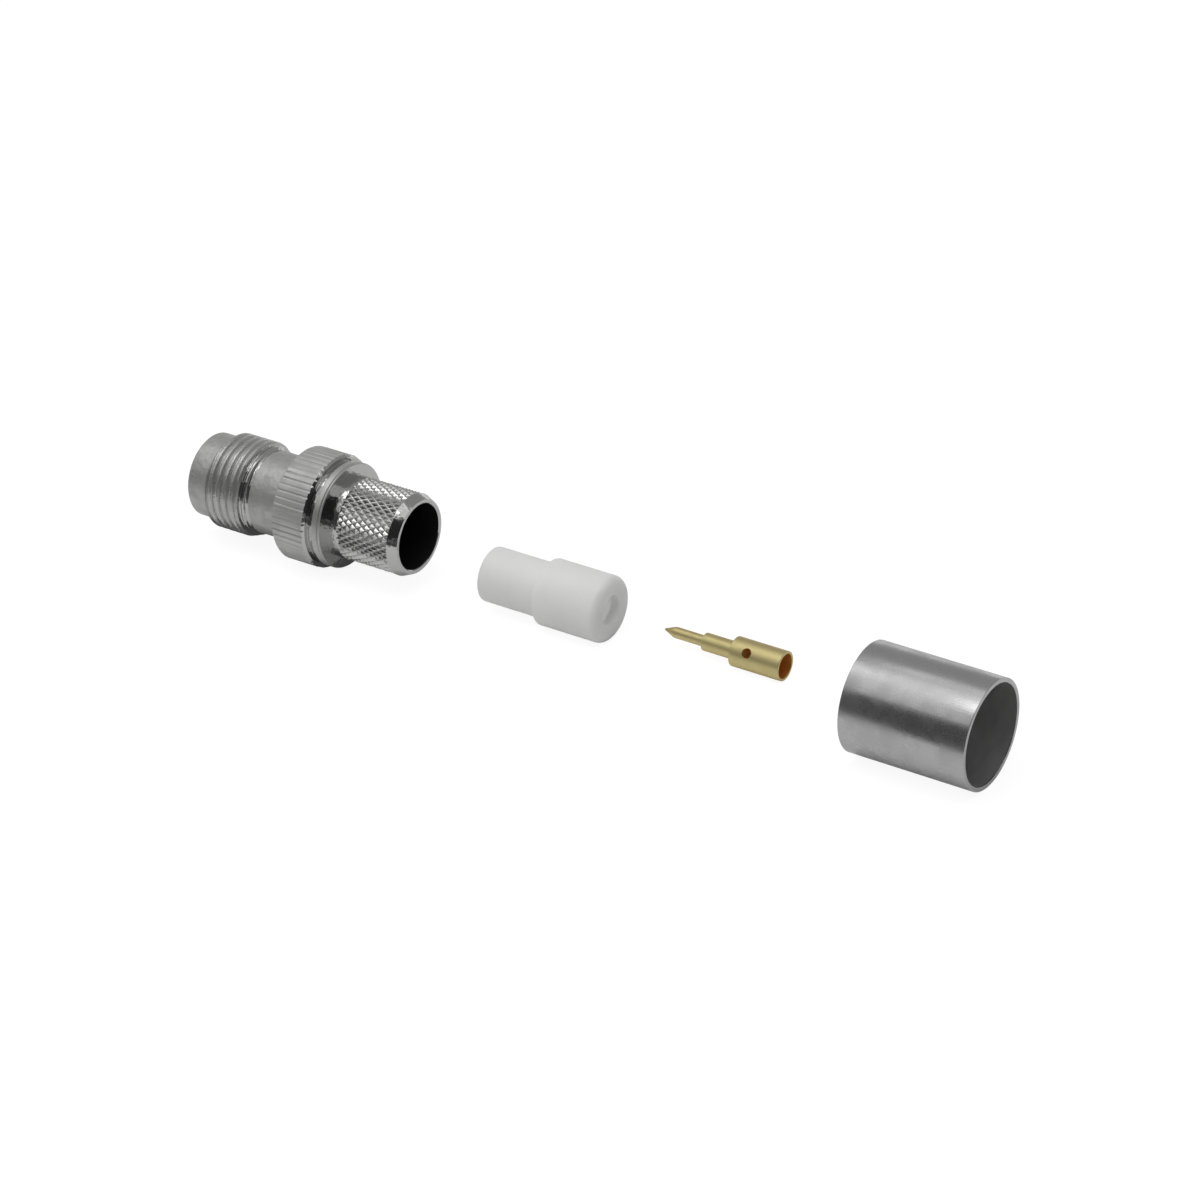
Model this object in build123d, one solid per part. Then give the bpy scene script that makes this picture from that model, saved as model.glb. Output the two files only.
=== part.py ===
from build123d import *
import os
from math import cos, pi, radians, sin, tan

# A threaded coaxial crimp jack with reversed polarity, as its four loose pieces lie in a row
# before they are crimped to a cable. All sizes are millimetres. The row runs along X, with
# the jack's threaded mouth at the low end and the ferrule at the high end. Each piece is
# turned about an axis parallel to X and lies on the floor at Z = 0.

# Front of the shell: plain lead, coupling thread and neck
lead_r = 4.8
lead_length = 2.95
lead_chamfer = 0.25
thread_r = 5.5
thread_length = 5.05
thread_chamfer = 0.12
thread_pitch = 0.907
thread_depth = 0.5
thread_crest = 0.15
thread_flank_angle = 30
first_groove = 0.73
runout_length = 0.5
neck_r = 4.75
neck_length = 4.6

# Straight knurled ring
knurl_r = 6.5
knurl_length = 4.3
knurl_teeth = 54
knurl_depth = 0.3
knurl_crest_share = 0.4

# Relief behind the ring and the shell's rear collar
relief_r = 5.75
relief_length = 0.7
collar_r = 6.0
collar_length = 0.75
seam_bevel = 0.07

# Front bore, where the mating connector enters
mouth_bore_r = 4.06
mouth_bore_depth = 5.3
mouth_bore_chamfer = 0.15

# Spigot of the crimp stem, pressed into the shell from behind
spigot_r = 5.0
spigot_floor = 0.8

# Crimp stem
flange_thickness = 0.3
flange_bevel = 0.1
stem_r = 4.7
stem_length = 9.25
nose_length = 1.05
nose_drop = 0.46
stem_mouth_chamfer = 0.08

# Insulator, a plain stepped bush
insulator_front_r = 3.1
insulator_front_length = 7.5
insulator_rear_r = 3.765
insulator_length = 15.45
insulator_rear_round = 0.75
insulator_edge_break = 0.1
insulator_play = 0.025

# Centre contact: pointed tip, shank and conductor pot
tip_r = 0.62
tip_length = 5.05
cone_length = 1.3
point_r = 0.09
shank_r = 1.0
shank_length = 3.8
pot_r = 1.66
pot_length = 6.1
pot_bore_r = 1.385
pot_bore_depth = 4.2
pot_edge_break = 0.04
sight_hole_r = 0.55
sight_hole_inset = 4.03
sight_hole_rise = 36.5
contact_play = 0.04

# Crimp ferrule, a plain tube
ferrule_r = 6.0
ferrule_wall = 0.5
ferrule_length = 14.4
ferrule_edge_break = 0.06

# How the loose pieces lie: clear floor between one piece and the next along the row, and
# how far each piece's axis lies to the side of the jack's axis
gap_to_insulator = 8.65
gap_to_pin = 4.9
gap_to_ferrule = 13.85
insulator_aside = 1.5
pin_aside = 4.4
ferrule_aside = -3.05

# Stations along the jack, counted from its front face
thread_start = lead_length
thread_end = thread_start + thread_length
neck_start = thread_end + runout_length
knurl_start = neck_start + neck_length
relief_start = knurl_start + knurl_length
collar_start = relief_start + relief_length
collar_end = collar_start + collar_length
stem_start = collar_end + flange_thickness
jack_length = stem_start + stem_length

# Bores that follow what sits in them
seat_bore_r = insulator_front_r + insulator_play
rear_bore_r = insulator_rear_r + insulator_play
seat_step = mouth_bore_depth + insulator_front_length
spigot_start = knurl_start + spigot_floor
contact_hole_r = shank_r + contact_play
pot_hole_r = pot_r + contact_play
pin_length = tip_length + shank_length + pot_length
ferrule_bore_r = ferrule_r - ferrule_wall

# Heights of the axes above the floor. The jack rests on the two knurl teeth beside its
# lowest groove, and the other pieces on their widest turned diameter.
half_pitch = pi / knurl_teeth
half_crest = half_pitch * knurl_crest_share
knurl_rest_r = knurl_r * cos(half_pitch - half_crest)
jack_axis_z = max(knurl_rest_r, collar_r)
insulator_axis_z = max(insulator_front_r, insulator_rear_r)
pin_axis_z = pot_r
ferrule_axis_z = ferrule_r


def turned(points):
    """Solid turned about the X axis from an outline of (station, radius) points."""
    return revolve(make_face(Polyline(*points, close=True)), Axis.X)


def rod(start, end, radius):
    """Plain cylinder on the X axis between two stations."""
    return turned([(start, 0), (start, radius), (end, radius), (end, 0)])


def thread_grooves():
    """Outline points of the coupling thread, drawn as one ring groove for each pitch."""
    half_mouth = (thread_pitch - thread_crest) / 2
    half_root = half_mouth - thread_depth * tan(radians(thread_flank_angle))
    root_r = thread_r - thread_depth
    points = []
    middle = thread_start + first_groove
    while middle + half_mouth < thread_end:
        points += [
            (middle - half_mouth, thread_r),
            (middle - half_root, root_r),
            (middle + half_root, root_r),
            (middle + half_mouth, thread_r),
        ]
        middle += thread_pitch
    return points


def knurl_ring():
    """Straight knurled ring: V grooves between flat crests."""
    first = -pi / 2 + half_pitch
    root_r = knurl_r - knurl_depth
    outline = []
    for tooth in range(knurl_teeth):
        middle = first + 2 * half_pitch * tooth
        for radius, angle in (
            (knurl_r, middle - half_crest),
            (knurl_r, middle + half_crest),
            (root_r, middle + half_pitch),
        ):
            outline.append((radius * cos(angle), radius * sin(angle)))
    teeth = extrude(Plane.YZ * make_face(Polyline(*outline, close=True)), knurl_length)
    return Pos(knurl_start, 0, 0) * teeth


def front_shell():
    """Shell of the jack: lead, coupling thread, neck, knurled ring and collar."""
    outside = turned([
        (0, 0),
        (0, lead_r - lead_chamfer),
        (lead_chamfer, lead_r),
        (thread_start, lead_r),
        (thread_start, thread_r - thread_chamfer),
        (thread_start + thread_chamfer, thread_r),
        *thread_grooves(),
        (thread_end, thread_r),
        (neck_start, neck_r),
        (knurl_start, neck_r),
        (knurl_start, relief_r),
        (collar_start, relief_r),
        (collar_start, collar_r),
        (collar_end - seam_bevel, collar_r),
        (collar_end, collar_r - seam_bevel),
        (collar_end, 0),
    ])
    bores = turned([
        (0, 0),
        (0, mouth_bore_r + mouth_bore_chamfer),
        (mouth_bore_chamfer, mouth_bore_r),
        (mouth_bore_depth, mouth_bore_r),
        (mouth_bore_depth, seat_bore_r),
        (seat_step, seat_bore_r),
        (seat_step, rear_bore_r),
        (spigot_start, rear_bore_r),
        (spigot_start, spigot_r),
        (collar_end, spigot_r),
        (collar_end, 0),
    ])
    return outside + knurl_ring() - bores


def crimp_stem():
    """Rear half of the jack: pressed spigot, thin flange and the stem that the braid goes on."""
    nose_start = jack_length - nose_length
    nose_r = stem_r - nose_drop
    outside = turned([
        (spigot_start, 0),
        (spigot_start, spigot_r),
        (collar_end, spigot_r),
        (collar_end, collar_r - seam_bevel),
        (collar_end + seam_bevel, collar_r),
        (stem_start - flange_bevel, collar_r),
        (stem_start, collar_r - flange_bevel),
        (stem_start, stem_r),
        (nose_start, stem_r),
        (jack_length, nose_r),
        (jack_length, 0),
    ])
    bore = turned([
        (spigot_start, 0),
        (spigot_start, rear_bore_r),
        (jack_length - stem_mouth_chamfer, rear_bore_r),
        (jack_length, rear_bore_r + stem_mouth_chamfer),
        (jack_length, 0),
    ])
    return outside - bore


def insulator():
    """Stepped plastic bush: slim front, wide rear, and a stepped hole for the contact."""
    round_start = insulator_length - insulator_rear_round
    face_r = insulator_rear_r - insulator_rear_round
    front_corner = insulator_front_r - insulator_edge_break
    outline = Polyline(
        (round_start, insulator_rear_r),
        (insulator_front_length, insulator_rear_r),
        (insulator_front_length, insulator_front_r),
        (insulator_edge_break, insulator_front_r),
        (0, front_corner),
        (0, 0),
        (insulator_length, 0),
        (insulator_length, face_r),
    )
    rounding = RadiusArc((insulator_length, face_r), (round_start, insulator_rear_r), -insulator_rear_round)
    outside = revolve(make_face(outline + rounding), Axis.X)
    hole = rod(0, shank_length, contact_hole_r) + rod(shank_length, insulator_length, pot_hole_r)
    return outside - hole


def contact_pin():
    """Centre contact: pointed tip, shank, and a pot with a sight hole for the conductor."""
    shank_start = tip_length
    pot_start = tip_length + shank_length
    outside = turned([
        (0, 0),
        (0, point_r),
        (cone_length, tip_r),
        (shank_start, tip_r),
        (shank_start, shank_r - pot_edge_break),
        (shank_start + pot_edge_break, shank_r),
        (pot_start, shank_r),
        (pot_start, pot_r - pot_edge_break),
        (pot_start + pot_edge_break, pot_r),
        (pin_length - pot_edge_break, pot_r),
        (pin_length, pot_r - pot_edge_break),
        (pin_length, 0),
    ])
    pot_bore = rod(pin_length - pot_bore_depth, pin_length, pot_bore_r)
    drill = Cylinder(sight_hole_r, 2 * pot_r, align=(Align.CENTER, Align.CENTER, Align.MIN))
    towards_side = Rot(90 - sight_hole_rise, 0, 0) * drill
    return outside - pot_bore - Pos(pin_length - sight_hole_inset, 0, 0) * towards_side


def crimp_ferrule():
    """Plain tube that is crimped over the braid and the stem."""
    return turned([
        (0, ferrule_bore_r),
        (0, ferrule_r - ferrule_edge_break),
        (ferrule_edge_break, ferrule_r),
        (ferrule_length - ferrule_edge_break, ferrule_r),
        (ferrule_length, ferrule_r - ferrule_edge_break),
        (ferrule_length, ferrule_bore_r),
    ])


def row_of_pieces():
    """The pieces on the floor, with the origin under the middle of the whole row."""
    insulator_x = jack_length + gap_to_insulator
    pin_x = insulator_x + insulator_length + gap_to_pin
    ferrule_x = pin_x + pin_length + gap_to_ferrule
    on_jack_axis = Pos(0, 0, jack_axis_z)
    pieces = {
        "front_shell": on_jack_axis * front_shell(),
        "crimp_stem": on_jack_axis * crimp_stem(),
        "insulator": Pos(insulator_x, insulator_aside, insulator_axis_z) * insulator(),
        "contact_pin": Pos(pin_x, pin_aside, pin_axis_z) * contact_pin(),
        "crimp_ferrule": Pos(ferrule_x, ferrule_aside, ferrule_axis_z) * crimp_ferrule(),
    }
    box = Compound(list(pieces.values())).bounding_box()
    to_origin = Pos(-box.center().X, -box.center().Y, 0)
    return {name: to_origin * piece for name, piece in pieces.items()}


def main():
    """Write one STEP file for each piece."""
    os.makedirs("parts", exist_ok=True)
    for name, piece in row_of_pieces().items():
        export_step(piece, os.path.join("parts", name + ".step"))


main()
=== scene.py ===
"""Looks of a reverse polarity coaxial crimp jack, laid out as a kit of loose pieces.

Lengths are metres, written as millimetres times MM. Every turned piece is modelled about its
own axis, which runs along X, and is then set on the axis of the solid that it stands for.
"""

import logging
import math
from dataclasses import dataclass
from enum import Enum, IntEnum
from typing import Any, Mapping, Sequence

import bmesh
import bpy
import numpy as np
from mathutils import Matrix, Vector

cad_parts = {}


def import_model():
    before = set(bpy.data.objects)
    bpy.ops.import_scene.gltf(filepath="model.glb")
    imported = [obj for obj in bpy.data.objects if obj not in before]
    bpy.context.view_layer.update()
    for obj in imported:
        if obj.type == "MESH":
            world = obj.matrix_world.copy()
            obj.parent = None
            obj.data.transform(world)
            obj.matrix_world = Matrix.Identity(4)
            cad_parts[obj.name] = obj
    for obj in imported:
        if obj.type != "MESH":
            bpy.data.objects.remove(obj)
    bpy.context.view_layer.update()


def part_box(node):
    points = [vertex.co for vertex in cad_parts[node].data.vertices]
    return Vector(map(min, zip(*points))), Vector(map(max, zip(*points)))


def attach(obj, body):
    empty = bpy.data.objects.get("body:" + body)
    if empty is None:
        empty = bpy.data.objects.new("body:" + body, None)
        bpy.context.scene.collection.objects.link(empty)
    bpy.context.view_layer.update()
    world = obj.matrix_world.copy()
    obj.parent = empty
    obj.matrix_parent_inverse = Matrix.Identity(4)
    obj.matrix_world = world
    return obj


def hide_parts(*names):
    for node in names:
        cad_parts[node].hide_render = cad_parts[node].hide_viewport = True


MM = 0.001
TAU = 2 * math.pi
SPLIT = 0.01 * MM  # keeps the last ring of one run off the first ring of the next
MERGE = 1e-7  # corners closer than this, in metres, become one
SHARP_ANGLE = 38.0  # edges that turn by more degrees than this stay sharp

Colour = tuple[float, float, float]
Point = tuple[float, float, float]
Corner = tuple[float, float, float]  # station, radius and size of rounding

log = logging.getLogger("crimp_jack")


# Shader building


class Wire:
    """One output socket, with Python's arithmetic written as Math nodes."""

    def __init__(self, board: "Board", socket: bpy.types.NodeSocket) -> None:
        """Keep an output socket and the board that it is on."""
        self.board = board
        self.socket = socket

    def _math(self, operation: str, first: Any, second: Any = 0.0) -> "Wire":
        """Add one Math node for two values, each a wire or a number."""
        node = self.board.add("ShaderNodeMath", {"operation": operation}, {0: first, 1: second})
        return Wire(self.board, node.outputs[0])

    def __add__(self, other: Any) -> "Wire":
        """Sum of two values."""
        return self._math("ADD", self, other)

    def __radd__(self, other: Any) -> "Wire":
        """Sum with a plain number in front."""
        return self._math("ADD", other, self)

    def __sub__(self, other: Any) -> "Wire":
        """Difference of two values."""
        return self._math("SUBTRACT", self, other)

    def __rsub__(self, other: Any) -> "Wire":
        """Difference from a plain number."""
        return self._math("SUBTRACT", other, self)

    def __mul__(self, other: Any) -> "Wire":
        """Product of two values."""
        return self._math("MULTIPLY", self, other)

    def __rmul__(self, other: Any) -> "Wire":
        """Product with a plain number in front."""
        return self._math("MULTIPLY", other, self)

    def at_most(self, other: Any) -> "Wire":
        """Smaller of two values."""
        return self._math("MINIMUM", self, other)

    def swing(self, width: float) -> "Wire":
        """A value from 0 to 1, moved to lie about 0 and scaled to a width."""
        return (self - 0.5) * width

    def between(self, low: float, high: float) -> "Wire":
        """Smooth rise from 0 at a low value to 1 at a high value.

        Args:
            low: The value that gives 0.
            high: The value that gives 1.

        Returns:
            The risen value.
        """
        node = self.board.add(
            "ShaderNodeMapRange",
            {"interpolation_type": "SMOOTHSTEP", "clamp": True},
            {"Value": self, "From Min": low, "From Max": high},
        )
        return Wire(self.board, node.outputs[0])


class Board:
    """The node tree of a material or world, with one way to add a node."""

    def __init__(self, owner: bpy.types.Material | bpy.types.World) -> None:
        """Clear the owner's node tree.

        Args:
            owner: The material or world to write.
        """
        owner.use_nodes = True
        self.tree = owner.node_tree
        self.tree.nodes.clear()

    def add(
        self,
        kind: str,
        settings: Mapping[str, Any] | None = None,
        sockets: Mapping[int | str, Any] | None = None,
    ) -> bpy.types.Node:
        """Add a node, set its settings first and then its sockets.

        Args:
            kind: Blender's type name of the node.
            settings: Properties of the node.
            sockets: Values or wires of the node's inputs, by index or name.

        Returns:
            The new node.
        """
        node = self.tree.nodes.new(kind)
        for key, value in (settings or {}).items():
            setattr(node, key, value)
        for key, value in (sockets or {}).items():
            if isinstance(value, Wire):
                self.tree.links.new(value.socket, node.inputs[key])
            else:
                node.inputs[key].default_value = value
        return node

    def wire(self, node: bpy.types.Node, output: int | str = 0) -> Wire:
        """Wrap one output of a node."""
        return Wire(self, node.outputs[output])

    def place(self) -> Wire:
        """Place on the piece, in metres, measured from the piece's own origin."""
        return self.wire(self.add("ShaderNodeTexCoord"), "Object")

    def along(self, place: Wire) -> Wire:
        """Station of a place along the piece's own axis, in metres."""
        return self.wire(self.add("ShaderNodeSeparateXYZ", None, {0: place}))

    def radius(self, place: Wire) -> Wire:
        """Distance from the piece's own axis, in metres.

        Args:
            place: Place on the piece.

        Returns:
            The radius.
        """
        flat = self.stretched(place, (0.0, 1.0, 1.0))
        node = self.add("ShaderNodeVectorMath", {"operation": "LENGTH"}, {0: flat})
        return self.wire(node, "Value")

    def stretched(self, vector: Wire, factors: Point) -> Wire:
        """Multiply a vector by one factor for each axis."""
        node = self.add("ShaderNodeVectorMath", {"operation": "MULTIPLY"}, {0: vector, 1: factors})
        return self.wire(node, 0)

    def noise(self, vector: Wire, detail: float, roughness: float) -> Wire:
        """Soft noise from 0 to 1 at one bump per unit of the vector.

        Args:
            vector: Where the noise is read.
            detail: Number of finer layers.
            roughness: Weight of the finer layers.

        Returns:
            The noise.
        """
        node = self.add(
            "ShaderNodeTexNoise",
            {"noise_dimensions": "3D"},
            {"Vector": vector, "Scale": 1.0, "Detail": detail, "Roughness": roughness},
        )
        return self.wire(node, "Fac")

    def mixed(self, share: Any, first: Any, second: Any) -> Wire:
        """Mix two colours.

        Args:
            share: How much of the second colour shows, from 0 to 1.
            first: A colour or a wire.
            second: A colour or a wire.

        Returns:
            The mixed colour.
        """
        # Inputs 6 and 7 and output 2 of the Mix node are its colour ones.
        values = {0: share, 6: self._rgba(first), 7: self._rgba(second)}
        node = self.add("ShaderNodeMix", {"data_type": "RGBA"}, values)
        return self.wire(node, 2)

    @staticmethod
    def _rgba(colour: Any) -> Any:
        """Give a plain colour its fourth number."""
        return colour if isinstance(colour, Wire) else (*colour, 1.0)

    def bump(self, height: Wire, distance: float) -> Wire:
        """Normal bent by a height from 0 to 1, where 1 stands for a distance in metres."""
        node = self.add("ShaderNodeBump", None, {"Height": height, "Distance": distance})
        return self.wire(node, "Normal")

    def finish(self, shader: bpy.types.Node, output: str = "ShaderNodeOutputMaterial") -> None:
        """Join the last shader to the output."""
        self.add(output, None, {"Surface": self.wire(shader)})


# Finishes


class Grain(Enum):
    """Which way the fine marks of a metal surface run."""

    RINGS = "rings left by the turning tool"
    LENGTHWISE = "streaks along the axis, left by drawing or knurling"


@dataclass(frozen=True)
class Speckle:
    """Soft noise on a piece, in bumps per millimetre along its axis and across it."""

    along: float
    across: float
    detail: float
    roughness: float = 0.5

    def on(self, board: Board, place: Wire) -> Wire:
        """Noise from 0 to 1 at a place on the piece."""
        factors = (self.along / MM, self.across / MM, self.across / MM)
        return board.noise(board.stretched(place, factors), self.detail, self.roughness)


@dataclass(frozen=True)
class Finish:
    """A surface finish, written as one material."""

    name: str

    def inputs(self, board: Board, place: Wire) -> dict[str, Any]:
        """Write the finish's patterns.

        Args:
            board: The material's node board.
            place: Place on the piece.

        Returns:
            The inputs of the surface shader.
        """
        raise NotImplementedError

    def material(self) -> bpy.types.Material:
        """Write the material.

        Returns:
            The finished material.
        """
        made = bpy.data.materials.new(self.name)
        board = Board(made)
        sockets = self.inputs(board, board.place())
        board.finish(board.add("ShaderNodeBsdfPrincipled", None, sockets))
        return made


@dataclass(frozen=True)
class NickelFinish(Finish):
    """Nickel plate over a turned, cut, knurled or drawn surface."""

    colour: Colour
    dull_colour: Colour
    roughness: float
    marks_per_mm: float
    mark_height: float
    roughness_spread: float = 0.12
    grain: Grain = Grain.RINGS
    metallic: float = 1.0
    wave_height: float = 0.0
    wave_mm: float = 0.5
    mottle_mm: float = 2.5
    mark_stretch: float = 40.0
    cloud_from: float = 0.35
    cloud_to: float = 0.7
    cloud_weight: float = 0.6
    mark_weight: float = 0.4

    def inputs(self, board: Board, place: Wire) -> dict[str, Any]:
        """Write the tool marks, the mottling and the slow waves.

        Args:
            board: The material's node board.
            place: Place on the piece.

        Returns:
            The inputs of the surface shader.
        """
        fine, slow = self.marks_per_mm, self.marks_per_mm / self.mark_stretch
        along, across = (fine, slow) if self.grain is Grain.RINGS else (slow, fine)
        marks = Speckle(along, across, detail=3.0, roughness=0.6).on(board, place)
        coarse = 1 / self.mottle_mm
        mottle = Speckle(coarse, coarse, detail=4.0, roughness=0.55).on(board, place)
        cloud = mottle.between(self.cloud_from, self.cloud_to)
        dullness = cloud * self.cloud_weight + marks * self.mark_weight
        shade = board.mixed(dullness, self.colour, self.dull_colour)
        rough = self.roughness + cloud.swing(self.roughness_spread)
        rough = rough + marks.swing(self.roughness_spread / 2)
        slowest = 1 / self.wave_mm
        waves = Speckle(slowest, slowest, detail=1.0).on(board, place)
        height = marks + waves * (self.wave_height / self.mark_height)
        return {
            "Base Color": shade,
            "Metallic": self.metallic,
            "Roughness": rough,
            "Normal": board.bump(height, self.mark_height),
        }


@dataclass(frozen=True)
class ShadedBoreFinish(Finish):
    """Unpolished inside of a metal tube, its colour darkened as painted shade, with random darker
    clouds.
    """

    colour: Colour
    roughness: float = 0.5
    roughness_spread: float = 0.1
    metallic: float = 0.6
    cloud_darkness: float = 0.7

    def inputs(self, board: Board, place: Wire) -> dict[str, Any]:
        """Write the random darker clouds.

        Args:
            board: The material's node board.
            place: Place on the piece.

        Returns:
            The inputs of the surface shader.
        """
        cloud = Speckle(along=1.0, across=0.4, detail=3.0).on(board, place)
        # The darker clouds vary the colour at random; the bore's own low colour is painted shade
        # of the hollow.
        darker = tuple(self.cloud_darkness * part for part in self.colour)
        return {
            "Base Color": board.mixed(cloud, self.colour, darker),
            "Metallic": self.metallic,
            "Roughness": self.roughness + cloud.swing(self.roughness_spread),
        }


@dataclass(frozen=True)
class PtfeFinish(Finish):
    """White PTFE: matt, slightly waxy, with soft turning rings."""

    colour: Colour = (0.8, 0.8, 0.79)
    shade_colour: Colour = (0.74, 0.74, 0.735)
    # Colour of the emission, painted light that lifts the shade in the insulator's holes.
    painted_light_colour: Colour = (1.0, 1.0, 0.99)
    roughness: float = 0.48
    roughness_spread: float = 0.12
    ring_height: float = 0.004 * MM
    scatter: float = 0.9
    scatter_depth: float = 2.2 * MM
    scatter_shares: Colour = (1.0, 1.0, 1.0)
    # Strength of that emission: painted light, not a glow of the PTFE; zero on the outside.
    painted_hole_light: float = 0.0

    def inputs(self, board: Board, place: Wire) -> dict[str, Any]:
        """Write the turning rings, the faint clouds and the emission's painted light.

        Args:
            board: The material's node board.
            place: Place on the piece.

        Returns:
            The inputs of the surface shader.
        """
        rings = Speckle(along=9.0, across=0.2, detail=2.0).on(board, place)
        cloud = Speckle(along=0.35, across=0.35, detail=3.0).on(board, place)
        return {
            "Base Color": board.mixed(cloud, self.colour, self.shade_colour),
            "Roughness": self.roughness + rings.swing(self.roughness_spread),
            "Subsurface Weight": self.scatter,
            "Subsurface Radius": self.scatter_shares,
            "Subsurface Scale": self.scatter_depth,
            "Emission Color": (*self.painted_light_colour, 1.0),
            "Emission Strength": self.painted_hole_light,
            "Normal": board.bump(rings, self.ring_height),
        }


@dataclass(frozen=True)
class GoldFinish(Finish):
    """Thin pale gold plate over brass, browner in random clouds where it is thin, and more orange
    inside the pot.
    """

    colour: Colour = (0.7, 0.61, 0.3)
    brown: Colour = (0.62, 0.51, 0.26)
    brown_from: float = 0.45
    brown_to: float = 0.75
    brown_most: float = 0.5
    pot_colour: Colour = (0.82, 0.46, 0.13)
    edge_colour: Colour = (1.0, 0.86, 0.95)
    roughness: float = 0.48
    roughness_spread: float = 0.12
    pot_roughness: float = 0.15
    mark_height: float = 0.0012 * MM
    pot_radius: float = 1.42 * MM
    pot_start: float = 10.5 * MM
    wall_blend: float = 0.03 * MM
    floor_blend: float = 0.1 * MM

    def inputs(self, board: Board, place: Wire) -> dict[str, Any]:
        """Write the turning marks, the brown clouds and the more orange pot.

        Args:
            board: The material's node board.
            place: Place on the piece.

        Returns:
            The inputs of the surface shader.
        """
        along = board.along(place)
        marks = Speckle(along=14.0, across=0.5, detail=3.0).on(board, place)
        cloud = Speckle(along=0.9, across=0.9, detail=4.0, roughness=0.6).on(board, place)
        thin = cloud.between(self.brown_from, self.brown_to) * self.brown_most
        plate = board.mixed(thin, self.colour, self.brown)
        wall = board.radius(place).between(self.pot_radius - self.wall_blend, self.pot_radius)
        inside = (1 - wall) * along.between(self.pot_start - self.floor_blend, self.pot_start)
        rough = self.roughness + cloud.swing(self.roughness_spread) + inside * self.pot_roughness
        return {
            "Base Color": board.mixed(inside, plate, self.pot_colour),
            "Specular Tint": (*self.edge_colour, 1.0),
            "Metallic": 1.0,
            "Roughness": rough,
            "Normal": board.bump(marks, self.mark_height),
        }


SATIN = NickelFinish(
    "satin_nickel", colour=(0.54, 0.54, 0.535), dull_colour=(0.45, 0.45, 0.445),
    roughness=0.54, marks_per_mm=12.0,
    mark_height=0.003 * MM, metallic=0.78, wave_height=0.06 * MM, mottle_mm=1.1,
)
BRIGHT = NickelFinish(
    "bright_nickel", colour=(0.55, 0.55, 0.545), dull_colour=(0.5, 0.5, 0.495),
    roughness=0.16, roughness_spread=0.08, marks_per_mm=16.0,
    mark_height=0.001 * MM, wave_height=0.04 * MM,
)
KNURLED = NickelFinish(
    "knurled_nickel", colour=(0.59, 0.59, 0.585), dull_colour=(0.49, 0.49, 0.485),
    roughness=0.56, grain=Grain.LENGTHWISE, marks_per_mm=7.0,
    mark_height=0.01 * MM, metallic=0.75,
)
CUT = NickelFinish(
    "thread_nickel", colour=(0.54, 0.54, 0.535), dull_colour=(0.43, 0.43, 0.425),
    roughness=0.3, marks_per_mm=9.0,
    mark_height=0.004 * MM, metallic=0.75, wave_height=0.035 * MM, wave_mm=0.3,
)
PRESSED = NickelFinish(
    "diamond_nickel", colour=(0.65, 0.65, 0.645), dull_colour=(0.58, 0.58, 0.575),
    roughness=0.27, roughness_spread=0.08, marks_per_mm=9.0,
    mark_height=0.002 * MM,
)
TURNED = NickelFinish(
    "turned_nickel", colour=(0.55, 0.55, 0.545), dull_colour=(0.48, 0.48, 0.475),
    roughness=0.44, roughness_spread=0.1, marks_per_mm=12.0,
    mark_height=0.002 * MM, metallic=0.78, wave_height=0.03 * MM, wave_mm=0.8,
)
DRAWN = NickelFinish(
    "drawn_nickel", colour=(0.53, 0.53, 0.53), dull_colour=(0.45, 0.45, 0.45),
    roughness=0.29, roughness_spread=0.1, grain=Grain.LENGTHWISE, marks_per_mm=7.0,
    mark_height=0.004 * MM, metallic=0.95,
)
# Near-black painted shade for the insides of the jack's mouth, seat and stem.
JACK_INSIDE_SHADE = ShadedBoreFinish("jack_inside_painted_shade", colour=(0.025, 0.025, 0.025))
# Inside of the ferrule: rougher and less polished than the outside, and its darker grey is painted
# shade.
FERRULE_INSIDE_SHADE = ShadedBoreFinish("ferrule_inside_painted_shade", colour=(0.38, 0.38, 0.38))
PTFE = PtfeFinish("ptfe_white")
# The insulator's holes get painted light from emission, lifting their shade.
PTFE_HOLE_PAINTED_LIGHT = PtfeFinish("ptfe_inside_painted_light", painted_hole_light=0.125)
GOLD = GoldFinish("gold_plate")


# Turned meshes


@dataclass
class Seat:
    """Where a piece's axis starts in the row frame."""

    x: float
    y: float
    z: float

    @classmethod
    def of(cls, start_node: str, round_node: str) -> "Seat":
        """Read a seat from the frame.

        Args:
            start_node: The node whose low end is where the piece starts.
            round_node: A node with a round outside, whose middle gives the axis.

        Returns:
            The seat.
        """
        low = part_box(start_node)[0]
        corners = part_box(round_node)
        middle = (corners[0] + corners[1]) / 2
        return cls(low.x, middle.y, middle.z)


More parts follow.
